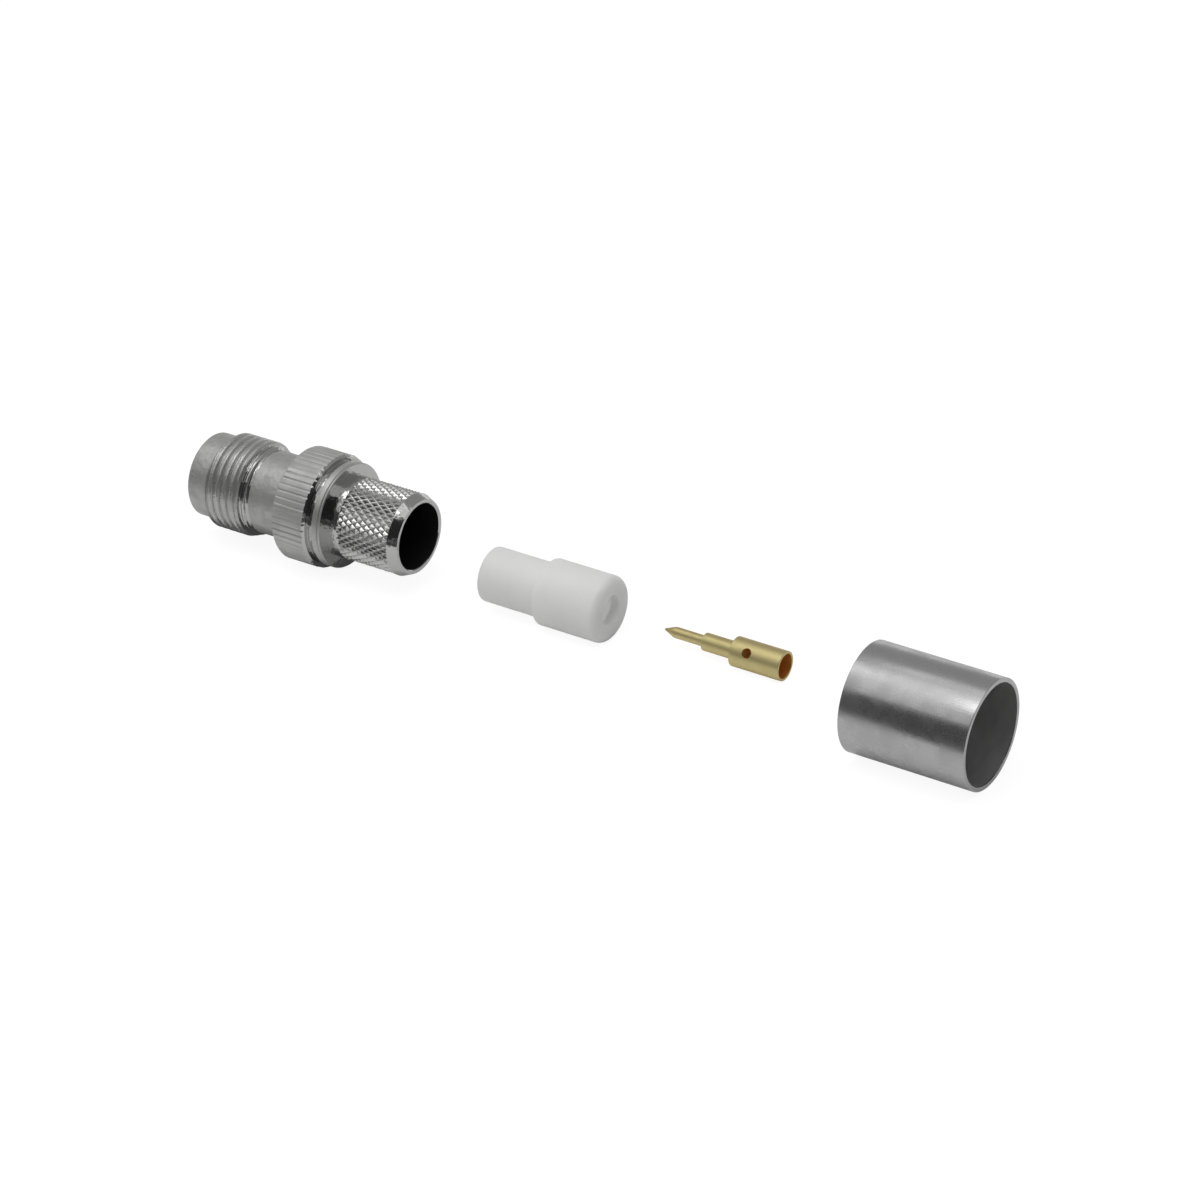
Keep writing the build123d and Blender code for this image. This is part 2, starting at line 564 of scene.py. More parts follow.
class Turning:
    """A closed skin about the X axis, made ring by ring."""

    side_share = 0.45  # most of a side that a rounding takes

    def __init__(self, columns: int, first_angle: float = 0.0) -> None:
        """Start an empty skin.

        Args:
            columns: Number of points round the axis.
            first_angle: Angle of the first column, from +Y towards +Z.
        """
        self.angles = first_angle + TAU * np.arange(columns + 1) / columns
        self.rings: list[tuple[np.ndarray, np.ndarray, int]] = []

    def ring(self, x: Any, radius: Any, finish: int = 0) -> None:
        """Add a ring by each column's station and radius, with the finish that follows it."""
        blank = np.zeros_like(self.angles)
        self.rings.append((blank + x, blank + radius, int(finish)))

    def run(self, corners: Sequence[Corner], finish: int = 0, steps: int = 3) -> None:
        """Add the rings of an outline with rounded corners.

        Args:
            corners: Station, radius and size of rounding of each corner. The first and last
                corner are not rounded.
            finish: Index of the material along the run.
            steps: Number of facets in each rounding.
        """
        last = len(corners) - 1
        for index, (x, radius, rounding) in enumerate(corners):
            if index in (0, last) or not rounding:
                self.ring(x, radius, finish)
                continue
            here = Vector((x, radius))
            back = Vector(corners[index - 1][:2]) - here
            ahead = Vector(corners[index + 1][:2]) - here
            reach = min(rounding, self.side_share * back.length, self.side_share * ahead.length)
            start = here + back.normalized() * reach
            end = here + ahead.normalized() * reach
            for step in range(steps + 1):
                t = step / steps
                point = start * (1 - t) ** 2 + here * (2 * t * (1 - t)) + end * t ** 2
                self.ring(point.x, point.y, finish)

    def mesh(self, name: str) -> bpy.types.Mesh:
        """Make the mesh, closing it round the axis and from the last ring to the first.

        Args:
            name: The mesh's name.

        Returns:
            The mesh.
        """
        count, columns = len(self.rings), len(self.angles)
        cos, sin = np.cos(self.angles), np.sin(self.angles)
        vertices = np.concatenate([
            np.stack([x, radius * cos, radius * sin], axis=1) for x, radius, _ in self.rings
        ])
        faces, finishes = [], []
        for row in range(count):
            ahead = (row + 1) % count
            for column in range(columns - 1):
                first, second = row * columns + column, ahead * columns + column
                faces.append((first, first + 1, second + 1, second))
                finishes.append(self.rings[row][2])
        mesh = bpy.data.meshes.new(name)
        mesh.from_pydata(vertices.tolist(), [], faces)
        mesh.polygons.foreach_set("material_index", finishes)
        return mesh


def placed(
    name: str, data: bpy.types.ID, place: Sequence[float] = (0.0, 0.0, 0.0)
) -> bpy.types.Object:
    """Add an object to the scene.

    Args:
        name: The object's name.
        data: Its mesh, lamp or camera.
        place: Where it stands.

    Returns:
        The new object.
    """
    made = bpy.data.objects.new(name, data)
    made.location = place
    bpy.context.scene.collection.objects.link(made)
    return made


def piece_from(
    turning: Turning,
    name: str,
    seat: Seat,
    finishes: Sequence[bpy.types.Material],
    sharp_angle: float = SHARP_ANGLE,
) -> bpy.types.Object:
    """Make an object from a turned skin and set it on its axis.

    Args:
        turning: The skin.
        name: The piece's name.
        seat: Where its axis starts.
        finishes: Its materials, by index.
        sharp_angle: Edges that turn more than this many degrees stay sharp.

    Returns:
        The new object.
    """
    mesh = turning.mesh(name)
    work = bmesh.new()
    work.from_mesh(mesh)
    bmesh.ops.remove_doubles(work, verts=work.verts, dist=MERGE)
    bmesh.ops.dissolve_degenerate(work, edges=work.edges, dist=MERGE)
    bmesh.ops.recalc_face_normals(work, faces=work.faces)
    work.to_mesh(mesh)
    work.free()
    mesh.polygons.foreach_set("use_smooth", [True] * len(mesh.polygons))
    mesh.set_sharp_from_angle(angle=math.radians(sharp_angle))
    for finish in finishes:
        mesh.materials.append(finish)
    return placed(name, mesh, (seat.x, seat.y, seat.z))


def report(piece: bpy.types.Object) -> None:
    """Log a piece's name and face count."""
    log.info("%s: %d faces", piece.name, len(piece.data.polygons))


# Pieces


class ShellFinish(IntEnum):
    """Order of the front shell's finishes."""

    SATIN = 0
    KNURLED = 1
    BORE = 2
    BRIGHT = 3
    CUT = 4
    TURNED = 5


class StemFinish(IntEnum):
    """Order of the crimp stem's finishes."""

    BRIGHT = 0
    BORE = 1
    PRESSED = 2
    TURNED = 3


class Side(IntEnum):
    """Order of the finishes of a piece with one outside and one inside."""

    OUTSIDE = 0
    INSIDE = 1


@dataclass
class FrontShell:
    """Turned shell of the jack: lead, coupling thread, neck, knurled ring and collar."""

    seat: Seat
    lead_r: float = 4.8 * MM
    lead_length: float = 2.95 * MM
    lead_chamfer: float = 0.25 * MM
    thread_r: float = 5.5 * MM
    thread_length: float = 4.35 * MM
    thread_chamfer: float = 0.12 * MM
    thread_pitch: float = 0.95 * MM
    thread_depth: float = 0.34 * MM
    thread_turn: float = 0.58
    first_lap: int = -2
    crest_middle: float = 0.5
    chamfer_reach: float = 0.15 * MM
    chamfer_fall: float = 1.3
    groove_mouth: float = 0.35
    groove_root: float = 0.05
    groove_steps: int = 6
    runout_length: float = 1.25 * MM
    runout_mm: tuple[float, ...] = (0.17, 0.26, 0.46, 0.6, 0.82, 0.98)
    runout_drop: float = 0.25 * MM
    runout_r: float = 4.95 * MM
    runout_fillet: float = 0.08 * MM
    last_crest_r: float = 5.08 * MM
    neck_r: float = 4.75 * MM
    neck_length: float = 4.55 * MM
    neck_fillet: float = 0.12 * MM
    neck_step: float = 0.5 * MM
    knurl_r: float = 6.5 * MM
    knurl_length: float = 4.3 * MM
    knurl_teeth: int = 54
    knurl_depth: float = 0.11 * MM
    knurl_crest_share: float = 0.6
    knurl_wear: float = 0.05 * MM
    wear_share: float = 0.45
    wear_seed: int = 11
    knurl_chamfer: float = 0.1 * MM
    knurl_rear_chamfer: float = 0.28 * MM
    columns_per_tooth: int = 10
    relief_r: float = 5.75 * MM
    relief_length: float = 0.7 * MM
    relief_fillet: float = 0.08 * MM
    relief_step: float = 0.1 * MM
    collar_r: float = 6.0 * MM
    collar_length: float = 0.75 * MM
    seam_bevel: float = 0.07 * MM
    seam_gap: float = 0.02 * MM
    mouth_r: float = 4.06 * MM
    mouth_depth: float = 5.3 * MM
    mouth_chamfer: float = 0.15 * MM
    seat_r: float = 3.125 * MM
    seat_length: float = 7.5 * MM
    rear_r: float = 3.79 * MM
    spigot_r: float = 5.0 * MM
    spigot_floor: float = 0.8 * MM
    edge: float = 0.06 * MM

    def groove(self, x: np.ndarray, turn: np.ndarray) -> np.ndarray:
        """Depth share of the helical groove.

        Args:
            x: Station of each column.
            turn: Turns of each column about the axis, from 0 to 1.

        Returns:
            1 in the groove's root, 0 on the crest.
        """
        laps = (x - self.lead_length) / self.thread_pitch - turn - self.thread_turn
        away = np.abs(laps - np.round(laps))
        share = (self.groove_mouth - away) / (self.groove_mouth - self.groove_root)
        share = np.clip(share, 0.0, 1.0)
        return share * share * (3 - 2 * share)

    def thread_rings(self, skin: Turning, start: float, end: float) -> None:
        """Add the helical thread, chamfered at both ends.

        Args:
            skin: The skin to add to.
            start: Station of the thread's front face.
            end: Station of the last full crest.
        """
        turn = (skin.angles - skin.angles[0]) / TAU
        flank = np.linspace(self.groove_mouth, self.groove_root, self.groove_steps + 1)
        offsets = [-self.crest_middle, *(-flank), *flank[::-1]]
        last_lap = math.ceil(self.thread_length / self.thread_pitch)
        for lap in range(self.first_lap, last_lap + 1):
            middle = start + self.thread_pitch * (lap + turn + self.thread_turn)
            for offset in offsets:
                x = np.clip(middle + offset * self.thread_pitch, start, end + self.chamfer_reach)
                cut = self.thread_r - self.thread_depth * self.groove(x, turn)
                front = self.thread_r - self.thread_chamfer + (x - start)
                back = self.thread_r - self.chamfer_fall * (x - end)
                skin.ring(x, np.minimum(np.minimum(cut, front), back), ShellFinish.CUT)

    def knurl_rings(self, skin: Turning, start: float) -> None:
        """Add the straight knurled ring.

        Args:
            skin: The skin to add to, whose first column lies on a tooth's middle.
            start: Station of the ring's front face.
        """
        columns = np.arange(len(skin.angles))
        step = columns % self.columns_per_tooth
        share = np.minimum(step, self.columns_per_tooth - step) / self.columns_per_tooth
        flank = (share - self.knurl_crest_share / 2) / ((1 - self.knurl_crest_share) / 2)
        random = np.random.default_rng(self.wear_seed)
        tooth = (columns + self.columns_per_tooth // 2) // self.columns_per_tooth
        wear = random.uniform(0.0, self.knurl_wear, self.knurl_teeth)[tooth % self.knurl_teeth]
        crest = self.knurl_r - np.where(share < self.wear_share, wear, 0.0)
        root = self.knurl_r - self.knurl_depth
        radius = crest - np.clip(flank, 0.0, 1.0) * (crest - root)
        end = start + self.knurl_length
        bevel = end - self.knurl_rear_chamfer
        front = np.minimum(radius, self.knurl_r - self.knurl_chamfer)
        skin.ring(start, front, ShellFinish.KNURLED)
        skin.ring(start + self.knurl_chamfer, radius, ShellFinish.KNURLED)
        skin.ring(bevel, radius, ShellFinish.BRIGHT)
        skin.ring(bevel + self.knurl_depth, root, ShellFinish.BRIGHT)
        skin.ring(end, self.knurl_r - self.knurl_rear_chamfer, ShellFinish.BRIGHT)

    def build(self, finishes: Sequence[bpy.types.Material]) -> bpy.types.Object:
        """Build the shell.

        Args:
            finishes: The materials, in the order of ShellFinish.

        Returns:
            The dressed piece.
        """
        half_pitch = math.pi / self.knurl_teeth
        skin = Turning(self.knurl_teeth * self.columns_per_tooth, -math.pi / 2 + half_pitch)
        thread_start = self.lead_length
        crest_end = thread_start + self.thread_length
        neck_start = crest_end + self.runout_length
        knurl_start = neck_start + self.neck_length
        relief_start = knurl_start + self.knurl_length
        collar_start = relief_start + self.relief_length
        back = collar_start + self.collar_length - self.seam_gap
        edge = self.edge
        skin.run([
            (0, self.mouth_r + self.mouth_chamfer, 0),
            (0, self.lead_r - self.lead_chamfer, edge),
            (self.lead_chamfer, self.lead_r, edge),
            (thread_start, self.lead_r, 0),
        ])
        self.thread_rings(skin, thread_start, crest_end)
        last_root, dip, rise, crest, fall, foot = (crest_end + at * MM for at in self.runout_mm)
        skin.run([
            (last_root, self.thread_r - self.runout_drop, 0),
            (dip, self.runout_r, self.runout_fillet),
            (rise, self.runout_r, self.runout_fillet),
            (crest, self.last_crest_r, edge),
            (fall, self.last_crest_r, edge),
            (foot, self.neck_r, self.neck_fillet),
            (neck_start, self.neck_r, 0),
        ], ShellFinish.BRIGHT)
        skin.run([
            (neck_start + SPLIT, self.neck_r, 0),
            (knurl_start, self.neck_r, self.neck_fillet),
            (knurl_start, self.neck_r + self.neck_step, 0),
        ])
        self.knurl_rings(skin, knurl_start)
        skin.run([
            (relief_start, self.relief_r + self.relief_step, 0),
            (relief_start, self.relief_r, self.relief_fillet),
            (collar_start, self.relief_r, self.relief_fillet),
            (collar_start, self.collar_r - edge, 0),
        ], ShellFinish.BRIGHT)
        skin.run([
            (collar_start, self.collar_r - edge, 0),
            (collar_start + edge, self.collar_r, edge / 2),
            (back - self.seam_bevel, self.collar_r, edge / 2),
            (back, self.collar_r - self.seam_bevel, 0),
        ], ShellFinish.TURNED)
        skin.run([
            (back, self.collar_r - self.seam_bevel - SPLIT, 0),
            (back, self.spigot_r, 0),
            (knurl_start + self.spigot_floor, self.spigot_r, 0),
            (knurl_start + self.spigot_floor, self.rear_r, 0),
        ])
        seat_step = self.mouth_depth + self.seat_length
        skin.run([
            (seat_step, self.rear_r, 0),
            (seat_step, self.seat_r, 0),
            (self.mouth_depth, self.seat_r, 0),
            (self.mouth_depth, self.mouth_r, 0),
            (self.mouth_chamfer, self.mouth_r, 0),
        ], ShellFinish.BORE)
        piece = piece_from(skin, "shell_turned", self.seat, finishes)
        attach(piece, "root")
        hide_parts("front_shell")
        return piece


@dataclass
class CrimpStem:
    """Rear half of the jack: spigot, flange and diamond-knurled stem."""

    seat: Seat
    spigot_start: float = 13.9 * MM
    spigot_r: float = 5.0 * MM
    flange_start: float = 18.85 * MM
    flange_thickness: float = 0.3 * MM
    flange_r: float = 6.0 * MM
    flange_bevel: float = 0.1 * MM
    seam_bevel: float = 0.07 * MM
    seam_gap: float = 0.02 * MM
    stem_r: float = 4.7 * MM
    stem_length: float = 9.25 * MM
    stem_foot_drop: float = 0.02 * MM
    plain_length: float = 1.45 * MM
    diamond_length: float = 6.7 * MM
    diamonds: int = 40
    diamond_depth: float = 0.21 * MM
    groove_share: float = 0.97
    steps_per_diamond: int = 12
    diamond_rows: int = 66
    diamond_gap: float = 0.02 * MM
    nose_length: float = 1.05 * MM
    nose_drop: float = 0.46 * MM
    nose_round: float = 0.3 * MM
    bore_r: float = 3.79 * MM
    mouth_chamfer: float = 0.08 * MM
    edge: float = 0.05 * MM
    sharp_angle: float = 20.0

    def groove(self, phase: np.ndarray) -> np.ndarray:
        """Depth share of a family of V grooves: 1 where the phase is whole, 0 between."""
        away = np.abs(phase - np.round(phase))
        return np.clip(1 - 2 * away / self.groove_share, 0.0, 1.0)

    def diamond_rings(self, skin: Turning, start: float) -> None:
        """Add the diamond knurl, two crossing families of grooves.

        Args:
            skin: The skin to add to.
            start: Station where the knurl starts.
        """
        column = np.arange(len(skin.angles)) / self.steps_per_diamond
        spacing = self.diamond_length / self.diamond_rows
        for row in range(self.diamond_rows + 1):
            shift = row / self.steps_per_diamond
            depth = np.maximum(self.groove(column + shift), self.groove(column - shift))
            fade = 0.0 if row in (0, self.diamond_rows) else 1.0
            radius = self.stem_r - self.diamond_depth * depth * fade
            skin.ring(start + spacing * row, radius, StemFinish.PRESSED)

    def build(self, finishes: Sequence[bpy.types.Material]) -> bpy.types.Object:
        """Build the stem.

        Args:
            finishes: The materials, in the order of StemFinish.

        Returns:
            The dressed piece.
        """
        skin = Turning(self.diamonds * self.steps_per_diamond)
        front = self.flange_start + self.seam_gap
        face = self.flange_start + self.flange_thickness
        end = face + self.stem_length
        nose_start = end - self.nose_length
        knurl_start = face + self.plain_length
        edge = self.edge
        skin.run([
            (self.spigot_start, self.bore_r, 0),
            (self.spigot_start, self.spigot_r, 0),
            (front, self.spigot_r, 0),
            (front, self.flange_r - self.seam_bevel - SPLIT, 0),
        ])
        skin.run([
            (front, self.flange_r - self.seam_bevel, 0),
            (front + self.seam_bevel, self.flange_r, edge / 2),
            (face - self.flange_bevel, self.flange_r, edge / 2),
            (face, self.flange_r - self.flange_bevel, 0),
        ], StemFinish.TURNED)
        skin.run([
            (face, self.flange_r - self.flange_bevel - SPLIT, 0),
            (face, self.stem_r - self.stem_foot_drop, 0),
        ])
        self.diamond_rings(skin, knurl_start)
        skin.run([
            (knurl_start + self.diamond_length + self.diamond_gap, self.stem_r, 0),
            (nose_start, self.stem_r, self.nose_round),
            (end, self.stem_r - self.nose_drop, edge),
            (end, self.bore_r + self.mouth_chamfer, 0),
        ])
        skin.run([
            (end - self.mouth_chamfer, self.bore_r, 0),
            (self.spigot_start + SPLIT, self.bore_r, 0),
        ], StemFinish.BORE)
        piece = piece_from(skin, "stem_turned", self.seat, finishes, self.sharp_angle)
        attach(piece, "root")
        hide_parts("crimp_stem")
        return piece


@dataclass
class Insulator:
    """Stepped PTFE bush."""

    seat: Seat
    front_r: float = 3.1 * MM
    front_length: float = 7.5 * MM
    front_round: float = 0.14 * MM
    rear_r: float = 3.765 * MM
    length: float = 15.45 * MM
    step_fillet: float = 0.05 * MM
    step_round: float = 0.16 * MM
    rear_round: float = 0.9 * MM
    contact_hole_r: float = 1.04 * MM
    contact_hole_length: float = 3.8 * MM
    pot_hole_r: float = 1.7 * MM
    hole_gap: float = 0.02 * MM
    rim_round: float = 0.6 * MM
    rim_reach: float = 2.0
    inside_reach: float = 2.1
    columns: int = 160
    round_steps: int = 10

    def build(self, finishes: Sequence[bpy.types.Material]) -> bpy.types.Object:
        """Build the insulator.

        Args:
            finishes: The white PTFE, in the order of Side.

        Returns:
            The dressed piece.
        """
        skin = Turning(self.columns)
        skin.run([
            (0, self.contact_hole_r, 0),
            (0, self.front_r, self.front_round),
            (self.front_length, self.front_r, self.step_fillet),
            (self.front_length, self.rear_r, self.step_round),
            (self.length - self.rear_round, self.rear_r, 0),
        ])
        for step in range(1, self.round_steps + 1):
            angle = math.pi / 2 * step / self.round_steps
            skin.ring(
                self.length - self.rear_round * (1 - math.sin(angle)),
                self.rear_r - self.rear_round * (1 - math.cos(angle)),
            )
        rim_end = self.length - self.rim_reach * self.rim_round
        inside_start = self.length - self.inside_reach * self.rim_round
        skin.run([
            (self.length, self.pot_hole_r + self.rim_round, 0),
            (self.length, self.pot_hole_r, self.rim_round),
            (rim_end, self.pot_hole_r, 0),
        ])
        skin.run([
            (inside_start, self.pot_hole_r, 0),
            (self.contact_hole_length, self.pot_hole_r, 0),
            (self.contact_hole_length, self.contact_hole_r, 0),
            (self.hole_gap, self.contact_hole_r, 0),
        ], Side.INSIDE)
        piece = piece_from(skin, "insulator_bush", self.seat, finishes)
        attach(piece, "root")
        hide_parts("insulator")
        return piece


@dataclass
class ContactPin:
    """Gold-plated centre contact with a conductor pot and a sight hole."""

    seat: Seat
    point_r: float = 0.09 * MM
    point_flat: float = 0.4
    point_round: float = 0.05 * MM
    cone_length: float = 1.3 * MM
    cone_round: float = 0.25 * MM
    tip_r: float = 0.62 * MM
    tip_length: float = 5.05 * MM
    shank_r: float = 1.0 * MM
    shank_length: float = 3.8 * MM
    pot_r: float = 1.66 * MM
    pot_length: float = 6.1 * MM
    pot_bore_r: float = 1.385 * MM
    pot_bore_depth: float = 4.2 * MM
    pot_inset: float = 0.2 * MM
    floor_inset: float = 0.1 * MM
    floor_fillet: float = 0.02 * MM
    floor_ring_r: float = 0.3 * MM
    step_fillet: float = 0.03 * MM
    sight_hole_r: float = 0.55 * MM
    sight_hole_inset: float = 4.03 * MM
    sight_hole_rise: float = 36.5
    edge: float = 0.07 * MM
    columns: int = 128
    drill_columns: int = 48
    pot_rows: int = 40

    def drill(self, length: float) -> bpy.types.Object:
        """Make the cutter of the sight hole.

        Args:
            length: The whole contact's length.

        Returns:
            The cutter, on the contact's seat.
        """
        mesh = bpy.data.meshes.new("sight_drill")
        work = bmesh.new()
        bmesh.ops.create_cone(
            work, cap_ends=True, segments=self.drill_columns, radius1=self.sight_hole_r,
            radius2=self.sight_hole_r, depth=2 * self.pot_r,
        )
        bmesh.ops.translate(work, verts=work.verts, vec=(0, 0, self.pot_r))
        work.to_mesh(mesh)
        work.free()
        station = self.seat.x + length - self.sight_hole_inset
        cutter = placed("sight_drill", mesh, (station, self.seat.y, self.seat.z))
        cutter.rotation_euler = (math.radians(90 - self.sight_hole_rise), 0, 0)
        return cutter

    def wall_rings(self, skin: Turning, start: float, span: float, radius: float) -> None:
        """Add even rings within a span of the pot's wall, for the sight hole to cut."""
        for row in range(1, self.pot_rows):
            skin.ring(start + span * row / self.pot_rows, radius)

    def build(self, finishes: Sequence[bpy.types.Material]) -> bpy.types.Object:
        """Build the contact.

        Args:
            finishes: The gold plate.

        Returns:
            The dressed piece.
        """
        skin = Turning(self.columns)
        shank_start = self.tip_length
        pot_start = shank_start + self.shank_length
        length = pot_start + self.pot_length
        floor = length - self.pot_bore_depth
        wall_start, wall_end = pot_start + self.pot_inset, length - self.pot_inset
        edge = self.edge
        skin.ring(0, 0)
        skin.run([
            (0, self.point_r * self.point_flat, 0),
            (0, self.point_r, self.point_round),
            (self.cone_length, self.tip_r, self.cone_round),
            (shank_start, self.tip_r, self.step_fillet),
            (shank_start, self.shank_r, edge),
            (pot_start, self.shank_r, self.step_fillet),
            (pot_start, self.pot_r, edge),
            (wall_start, self.pot_r, 0),
        ])
        self.wall_rings(skin, wall_start, self.pot_length - 2 * self.pot_inset, self.pot_r)
        skin.run([
            (wall_end, self.pot_r, 0),
            (length, self.pot_r, edge),
            (length, self.pot_bore_r, edge),
            (wall_end, self.pot_bore_r, 0),
        ])
        inner_span = self.pot_bore_depth - self.pot_inset - self.floor_inset
        self.wall_rings(skin, wall_end, -inner_span, self.pot_bore_r)
        skin.run([
            (floor + self.floor_inset, self.pot_bore_r, 0),
            (floor, self.pot_bore_r, self.floor_fillet),
            (floor, self.floor_ring_r, 0),
            (floor, 0, 0),
        ])
        piece = piece_from(skin, "contact_turned", self.seat, finishes)
        cutter = self.drill(length)
        cut = piece.modifiers.new("sight_hole", "BOOLEAN")
        cut.operation = "DIFFERENCE"
        cut.solver = "EXACT"
        cut.object = cutter
        graph = bpy.context.evaluated_depsgraph_get()
        drilled = bpy.data.meshes.new_from_object(piece.evaluated_get(graph))
        piece.modifiers.clear()
        piece.data = drilled
        drilled.name = "contact_turned"
        drilled.set_sharp_from_angle(angle=math.radians(SHARP_ANGLE))
        bpy.data.objects.remove(cutter)
        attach(piece, "root")
        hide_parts("contact_pin")
        return piece


@dataclass
class CrimpFerrule:
    """Plain nickel-plated tube."""

    seat: Seat
    radius: float = 6.0 * MM
    wall: float = 0.5 * MM
    length: float = 14.4 * MM
    edge: float = 0.06 * MM
    rear_lip: float = 0.1 * MM
    bore_start: float = 0.15 * MM
    front_gap: float = 0.02 * MM
    columns: int = 256

    def build(self, finishes: Sequence[bpy.types.Material]) -> bpy.types.Object:
        """Build the ferrule.

        Args:
            finishes: The drawn nickel and the shaded bore, in the order of Side.

        Returns:
            The dressed piece.
        """
        skin = Turning(self.columns)
        bore = self.radius - self.wall
        skin.run([
            (0, bore + self.wall / 2, 0),
            (0, self.radius, self.edge),
            (self.length / 2, self.radius, 0),
            (self.length, self.radius, self.edge),
            (self.length, bore, self.edge),
            (self.length - self.rear_lip, bore, 0),
        ])
        skin.run([
            (self.length - self.bore_start, bore, 0),
            (self.length / 2, bore, 0),
            (0, bore, self.edge),
            (0, bore + self.wall / 2 - self.front_gap, 0),
        ], Side.INSIDE)
        piece = piece_from(skin, "ferrule_tube", self.seat, finishes)
        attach(piece, "root")
        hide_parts("crimp_ferrule")
        return piece


# Studio


@dataclass(frozen=True)
class Flag:
    """A plain card, seen only in the metal's gloss."""

    name: str
    corners: tuple[Point, ...]
    tone: float = 0.06

    def build(self) -> None:
        """Hang the card."""
        mesh = bpy.data.meshes.new(self.name)
        mesh.from_pydata(self.corners, [], [tuple(range(len(self.corners)))])
        card = placed(self.name, mesh)
        card.visible_camera = card.visible_transmission = False
        card.visible_shadow = card.visible_diffuse = False
        paper = bpy.data.materials.new(self.name + "_paper")
        board = Board(paper)
        tone = (self.tone, self.tone, self.tone, 1.0)
        board.finish(board.add("ShaderNodeEmission", None, {"Color": tone}))
        mesh.materials.append(paper)


@dataclass(frozen=True)
class Softbox:
    """A soft lamp above the set, facing straight down."""

    name: str
    x: tuple[float, float]
    y: tuple[float, float]
    z: float
    radiance: float
    in_gloss: bool = True

    def build(self) -> None:
        """Hang the lamp."""
        width, depth = self.x[1] - self.x[0], self.y[1] - self.y[0]
        data = bpy.data.lights.new(self.name, "AREA")
        data.shape = "RECTANGLE"
        data.size, data.size_y = width, depth
        data.energy = self.radiance * math.pi * width * depth
        lamp = placed(self.name, data, (sum(self.x) / 2, sum(self.y) / 2, self.z))
        lamp.visible_glossy = self.in_gloss


@dataclass(frozen=True)
class Room:
    """Soft grey room that is darker behind the camera."""

    tone: float = 0.44
    dark_tone: float = 0.035
    dark_way: Point = (0.5, -0.7, 0.51)
    dark_from: float = 50.0
    dark_to: float = 66.0

    def build(self) -> None:
        """Write the world."""
        world = bpy.data.worlds.new("room")
        bpy.context.scene.world = world
        board = Board(world)
        way = board.place()
        values = {0: way, 1: Vector(self.dark_way).normalized()}
        dot = board.add("ShaderNodeVectorMath", {"operation": "DOT_PRODUCT"}, values)
        near = math.cos(math.radians(self.dark_from))
        far = math.cos(math.radians(self.dark_to))
        dark = board.wire(dot, "Value").between(far, near)
        tone = self.tone + dark * (self.dark_tone - self.tone)
        sky = board.add("ShaderNodeBackground", None, {"Strength": tone})
        board.finish(sky, "ShaderNodeOutputWorld")


@dataclass(frozen=True)
class Floor:
    """Pale floor whose own glow makes the background white, keeping the soft shadows."""

    size: float = 3.0
    tone: float = 0.82
    glow: float = 1.14
    glow_straight: float = 0.8
    glow_in_gloss: float = 0.08

    def build(self) -> None:
        """Lay the floor."""
        half = self.size / 2
        mesh = bpy.data.meshes.new("floor")
        corners = [(-half, -half, 0), (half, -half, 0), (half, half, 0), (-half, half, 0)]
        mesh.from_pydata(corners, [], [(0, 1, 2, 3)])
        floor = placed("floor", mesh)
        paper = bpy.data.materials.new("floor_paper")
        board = Board(paper)
        path = board.add("ShaderNodeLightPath")
        straight, gloss = board.wire(path, "Is Camera Ray"), board.wire(path, "Is Glossy Ray")
        seen = (straight + board.wire(path, "Is Transmission Ray")).at_most(1.0)
        share = seen * self.glow_straight + gloss * self.glow_in_gloss
        tone = (self.tone, self.tone, self.tone, 1.0)
        matt = board.add("ShaderNodeBsdfDiffuse", None, {"Color": tone})
        glow = board.add("ShaderNodeEmission", None, {"Strength": self.glow})
        values = {0: share, 1: board.wire(matt), 2: board.wire(glow)}
        board.finish(board.add("ShaderNodeMixShader", None, values))
        mesh.materials.append(paper)


@dataclass(frozen=True)
class Eye:
    """The camera of the photograph."""

    focal_length: float = 120.0
    sensor: float = 36.0
    target: Point = (-3.94 * MM, 9.88 * MM, 0.0)
    distance: float = 438.2 * MM
    azimuth: float = 32.83
    elevation: float = 28.67
    nearest: float = 0.01
    farthest: float = 20.0

    def build(self) -> None:
        """Set up the camera."""
        data = bpy.data.cameras.new("camera")
        data.lens, data.sensor_width = self.focal_length, self.sensor
        data.clip_start, data.clip_end = self.nearest, self.farthest
        turn, rise = math.radians(self.azimuth), math.radians(self.elevation)
        level = math.cos(rise)
        back = Vector((math.sin(turn) * level, -math.cos(turn) * level, math.sin(rise)))
        camera = placed("camera", data, Vector(self.target) + back * self.distance)
        camera.rotation_mode = "QUATERNION"
        ahead = Vector(self.target) - camera.location
        camera.rotation_quaternion = ahead.to_track_quat("-Z", "Y")
        bpy.context.scene.camera = camera


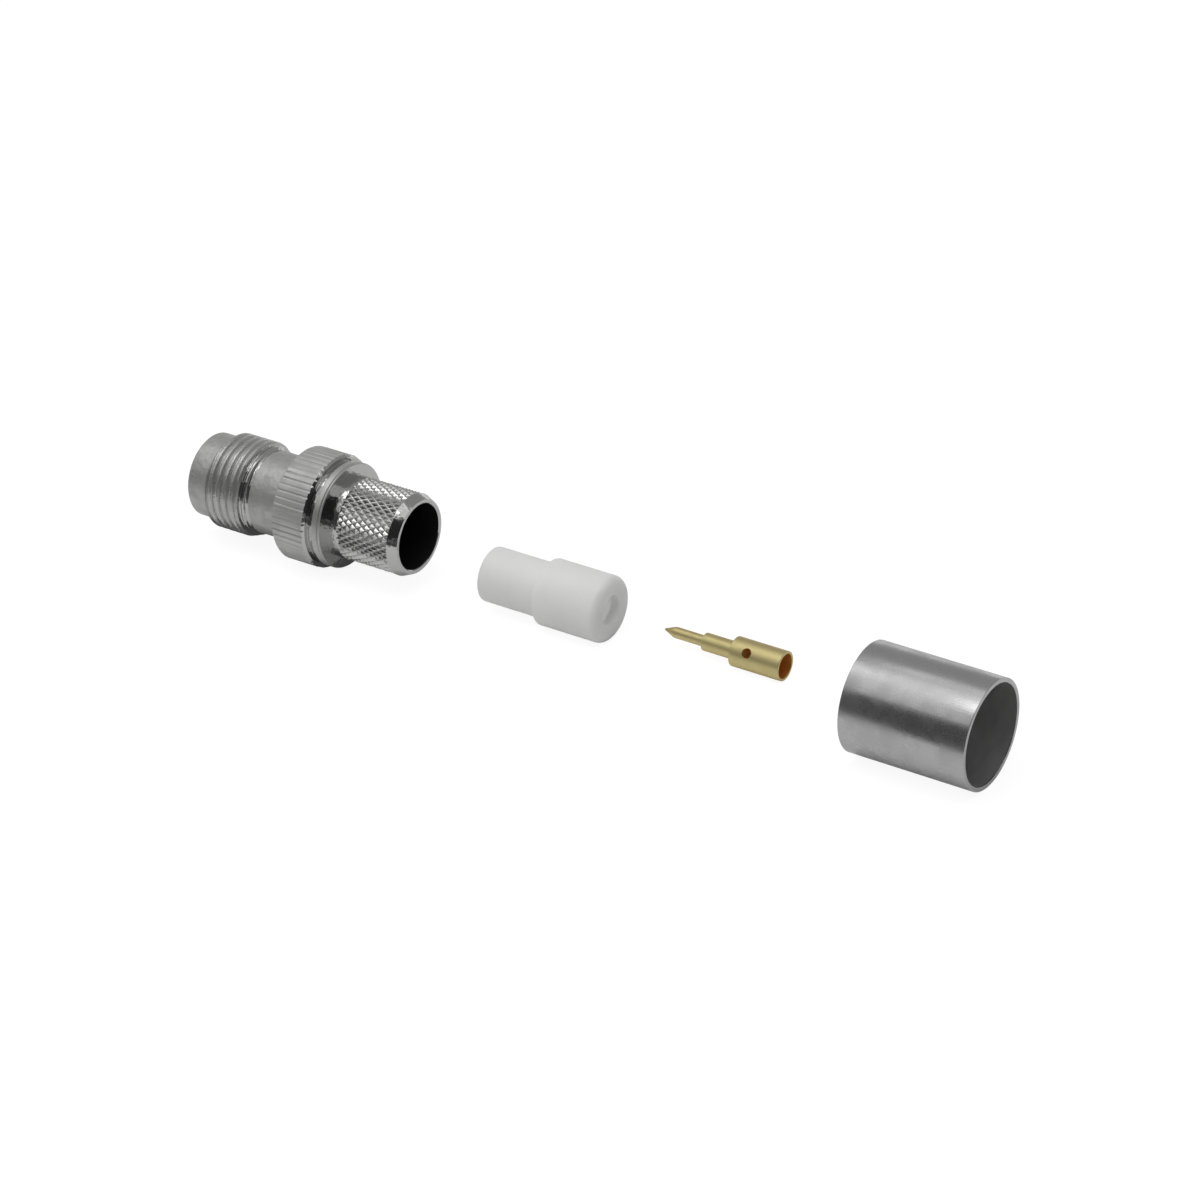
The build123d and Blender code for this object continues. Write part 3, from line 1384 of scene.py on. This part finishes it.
LAMPS = (
    Softbox("panel_left", x=(-0.75, -0.27), y=(-0.7, 0.08), z=0.5, radiance=0.56),
    Softbox("spark", x=(-0.39, -0.32), y=(-0.12, 0.03), z=0.49, radiance=3.2),
    Softbox("panel_middle", x=(-0.27, -0.05), y=(-0.7, 0.05), z=0.5, radiance=0.76),
    Softbox("panel_back", x=(-0.27, -0.05), y=(0.085, 0.23), z=0.5, radiance=0.64),
    Softbox("panel_right", x=(-0.05, 0.4), y=(-0.2, 0.12), z=0.5, radiance=0.84),
    Softbox("kicker", x=(-0.05, 0.06), y=(-0.26, -0.08), z=0.48, radiance=3.0),
    Softbox("fill", x=(-0.6, 0.6), y=(-1.1, 0.00), z=0.8, radiance=0.96, in_gloss=False),
)
CARDS = (
    Flag("front_flag", corners=(
        (-0.2, -0.03, 0.0002), (0.12, -0.03, 0.0002), (0.12, -0.03, 0.026),
        (0.013, -0.03, 0.026), (0.011, -0.03, 0.007), (-0.024, -0.03, 0.007),
        (-0.026, -0.03, 0.026), (-0.2, -0.03, 0.026),
    )),
    Flag("stem_flag", corners=(
        (-0.138, -0.05, 0.2), (-0.184, -0.19, 0.2), (-0.256, -0.33, 0.2),
        (-0.284, -0.33, 0.2), (-0.212, -0.19, 0.2), (-0.188, -0.143, 0.2),
        (-0.177, -0.1, 0.2), (-0.162, -0.03, 0.2), (-0.16, -0.012, 0.2),
        (-0.155, -0.012, 0.2), (-0.15, -0.045, 0.2),
    )),
    # Painted shadow: a dark card under the jack, seen only in gloss, darkening the floor's
    # reflection in the jack's underside.
    Flag("under_flag", tone=0.08, corners=(
        (-0.0495, -0.0034, 0.0002), (-0.029, -0.0034, 0.0002),
        (-0.029, 0.01, 0.0002), (-0.0495, 0.01, 0.0002),
    )),
    Flag("back_card", tone=1.0, corners=(
        (-1.2, 0.6, 0.0), (0.2, 0.6, 0.0), (0.2, 0.6, 0.11), (-1.2, 0.6, 0.11),
    )),
)


def build_studio() -> None:
    """Build the floor, the room, the lamps, the cards and the camera, and set the view."""
    for part in (Floor(), Room(), *LAMPS, *CARDS, Eye()):
        part.build()
    bpy.context.scene.view_settings.view_transform = "Standard"


def main() -> None:
    """Build the pieces in order, then the studio."""
    logging.basicConfig(level=logging.INFO, format="%(name)s %(message)s")
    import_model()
    satin, bright, knurled = SATIN.material(), BRIGHT.material(), KNURLED.material()
    cut, pressed, turned = CUT.material(), PRESSED.material(), TURNED.material()
    # The two bore materials carry painted shade inside the jack and inside the ferrule.
    drawn, painted_shade_jack, painted_shade_ferrule = DRAWN.material(), JACK_INSIDE_SHADE.material(), FERRULE_INSIDE_SHADE.material()
    ptfe, ptfe_inside_painted_light, gold = PTFE.material(), PTFE_HOLE_PAINTED_LIGHT.material(), GOLD.material()
    jack_seat = Seat.of("front_shell", "crimp_stem")
    report(FrontShell(jack_seat).build([satin, knurled, painted_shade_jack, bright, cut, turned]))
    report(CrimpStem(jack_seat).build([bright, painted_shade_jack, pressed, turned]))
    report(Insulator(Seat.of("insulator", "insulator")).build([ptfe, ptfe_inside_painted_light]))
    report(ContactPin(Seat.of("contact_pin", "contact_pin")).build([gold]))
    report(CrimpFerrule(Seat.of("crimp_ferrule", "crimp_ferrule")).build([drawn, painted_shade_ferrule]))
    build_studio()


if __name__ == "__main__":
    main()
